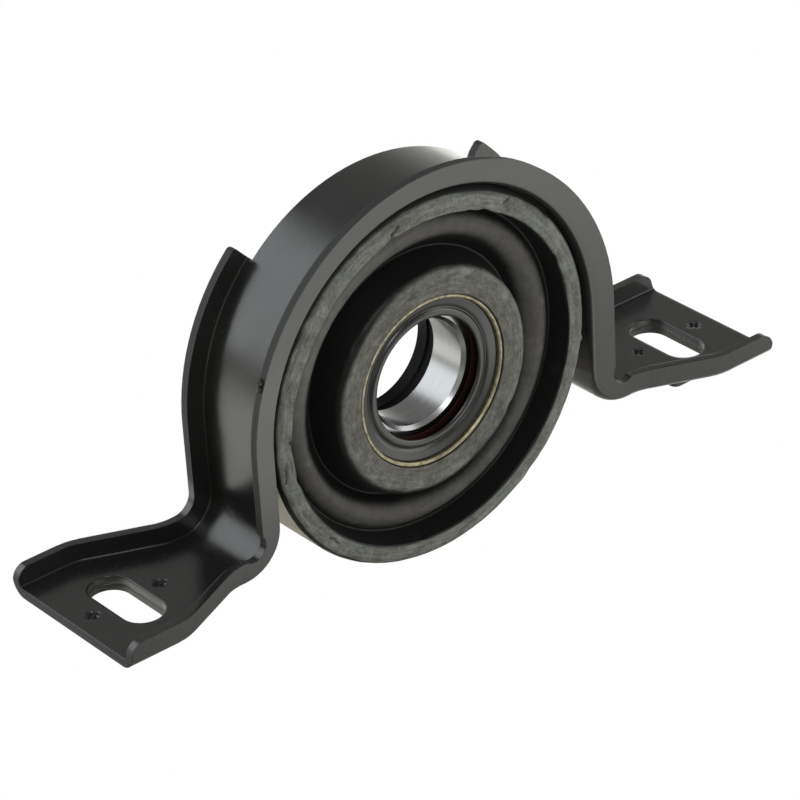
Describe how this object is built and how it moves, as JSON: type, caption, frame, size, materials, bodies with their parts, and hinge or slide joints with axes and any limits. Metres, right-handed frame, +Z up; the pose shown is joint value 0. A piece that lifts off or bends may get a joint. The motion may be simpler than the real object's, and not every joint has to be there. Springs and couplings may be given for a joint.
{
  "type": "driveshaft centre bearing",
  "caption": "Sealed ball bearing in a folded rubber cushion, carried by a pressed steel arch bracket with slotted feet; holds the middle of a two-piece driveshaft.",
  "frame": {"origin": "centre of the bearing's bore, midway along its width", "axes": "+X across the two feet, +Y along the shaft from the front face to the back, +Z up to the top of the arch"},
  "size_m": [0.219, 0.0507, 0.1129],
  "materials": {
    "black_paint": "satin",
    "plate_paint": "satin",
    "shell_steel": "dull",
    "cushion_rubber": "dusty matte",
    "plated_steel": "satin",
    "dark_plastic": "satin",
    "race_steel": "polished",
    "seal_rubber": "matte",
    "cage_steel": "satin",
    "ball_steel": "polished"
  },
  "bodies": {
    "housing": {"bracket": "black_paint", "left_foot_plate": "plate_paint", "right_foot_plate": "plate_paint", "ring_shell": "shell_steel", "rubber_cushion": "cushion_rubber", "bearing_sleeve": "plated_steel", "front_dust_shield": "dark_plastic", "rear_dust_shield": "dark_plastic", "outer_race": "race_steel", "front_seal": "seal_rubber", "rear_seal": "seal_rubber"},
    "inner": {"inner_race": "race_steel"},
    "rolling_set": {"front_cage": "cage_steel", "rear_cage": "cage_steel", "cage_rivets": "cage_steel", "ball_1": "ball_steel", "ball_2": "ball_steel", "ball_3": "ball_steel", "ball_4": "ball_steel", "ball_5": "ball_steel", "ball_6": "ball_steel", "ball_7": "ball_steel", "ball_8": "ball_steel", "ball_9": "ball_steel", "ball_10": "ball_steel", "ball_11": "ball_steel"}
  },
  "joints": [
    {"name": "inner_spin", "type": "hinge", "parent": "housing", "child": "inner", "pos_m": [0, 0, 0], "axis": [0, 1, 0], "continuous": true},
    {"name": "cage_spin", "type": "hinge", "parent": "housing", "child": "rolling_set", "pos_m": [0, 0, 0], "axis": [0, 1, 0], "continuous": true}
  ],
  "couplings": [
    {"joint": "cage_spin", "follows": "inner_spin", "ratio": 0.4165}
  ]
}
